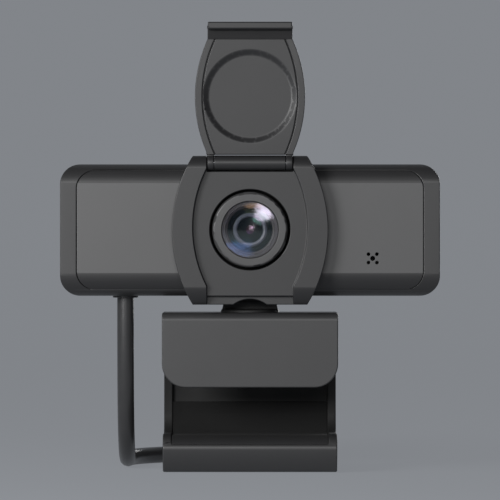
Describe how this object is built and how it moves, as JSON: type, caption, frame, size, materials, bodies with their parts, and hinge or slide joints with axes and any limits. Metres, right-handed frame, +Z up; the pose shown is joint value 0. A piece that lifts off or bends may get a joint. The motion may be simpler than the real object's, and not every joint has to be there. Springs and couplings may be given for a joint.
{
  "type": "webcam",
  "caption": "Wide-bar webcam with a flip-up privacy lid, on a tilting neck over a folding monitor clip, with its USB cord tied in a hank.",
  "frame": {"origin": "on the surface the clip's foot stands on, under the middle of the camera and clip's depth and width", "axes": "+X to the viewer's right when facing the lens, +Y away from the viewer, +Z up"},
  "size_m": [0.095, 0.1586, 0.1126],
  "materials": {
    "housing_plastic": "fine-grained moulded black",
    "front_gloss": "smooth dark grey face",
    "cover_plastic": "satin moulded black",
    "ring_satin": "satin dark grey",
    "lens_glass": "coated glass",
    "lens_black": "dull black",
    "filter_glass": "tinted flat glass",
    "chip_black": "moulded chip package",
    "board_green": "solder mask",
    "steel": "plated steel",
    "brass": "turned brass",
    "clip_plastic": "satin moulded black",
    "pad_rubber": "soft grip rubber",
    "cord_jacket": "soft cable jacket",
    "tie_strap": "hook and loop strap",
    "tongue_plastic": "white plug insert"
  },
  "bodies": {
    "clip": {"clip_bracket": "clip_plastic", "jaw_pad": "pad_rubber", "leg_hinge_pin": "steel"},
    "leg": {"clip_leg": "clip_plastic", "leg_pad": "pad_rubber", "tripod_insert": "brass"},
    "neck": {"neck_post": "clip_plastic", "pan_screw": "steel", "pan_washer": "steel", "usb_cord": "cord_jacket", "usb_cord_hank": "cord_jacket", "cord_tie": "tie_strap", "plug_overmould": "cord_jacket", "plug_shell": "steel", "plug_tongue": "tongue_plastic", "plug_contacts": "brass"},
    "head": {"rear_housing": "housing_plastic", "front_plate": "front_gloss", "cover_frame": "cover_plastic", "lens_ring": "ring_satin", "lens_barrel": "lens_black", "front_glass": "lens_glass", "inner_lens": "lens_glass", "aperture_stop": "lens_black", "lens_holder": "lens_black", "ir_filter": "filter_glass", "image_sensor": "chip_black", "main_board": "board_green", "cable_connector": "chip_black", "microphone": "chip_black", "mic_gasket": "pad_rubber", "housing_screws": "steel", "board_screws": "steel", "strain_relief": "cord_jacket", "tilt_pin": "steel", "tilt_washers": "steel"},
    "lid": {"privacy_lid": "cover_plastic", "lid_hinge_pins": "steel"}
  },
  "joints": [
    {"name": "neck_pan", "type": "hinge", "parent": "clip", "child": "neck", "pos_m": [0, -0.0012, 0.04], "axis": [0, 0, 1], "range_deg": [-30, 30]},
    {"name": "head_tilt", "type": "hinge", "parent": "neck", "child": "head", "pos_m": [0, -0.0012, 0.0446], "axis": [1, 0, 0], "range_deg": [-20, 6], "deforming": ["usb_cord"]},
    {"name": "lid_flip", "type": "hinge", "parent": "head", "child": "lid", "pos_m": [0, -0.0161, 0.07745], "axis": [1, 0, 0], "range_deg": [0, 180]},
    {"name": "leg_fold", "type": "hinge", "parent": "clip", "child": "leg", "pos_m": [0, 0.0143, 0.0365], "axis": [1, 0, 0], "range_deg": [-38, 40]}
  ]
}
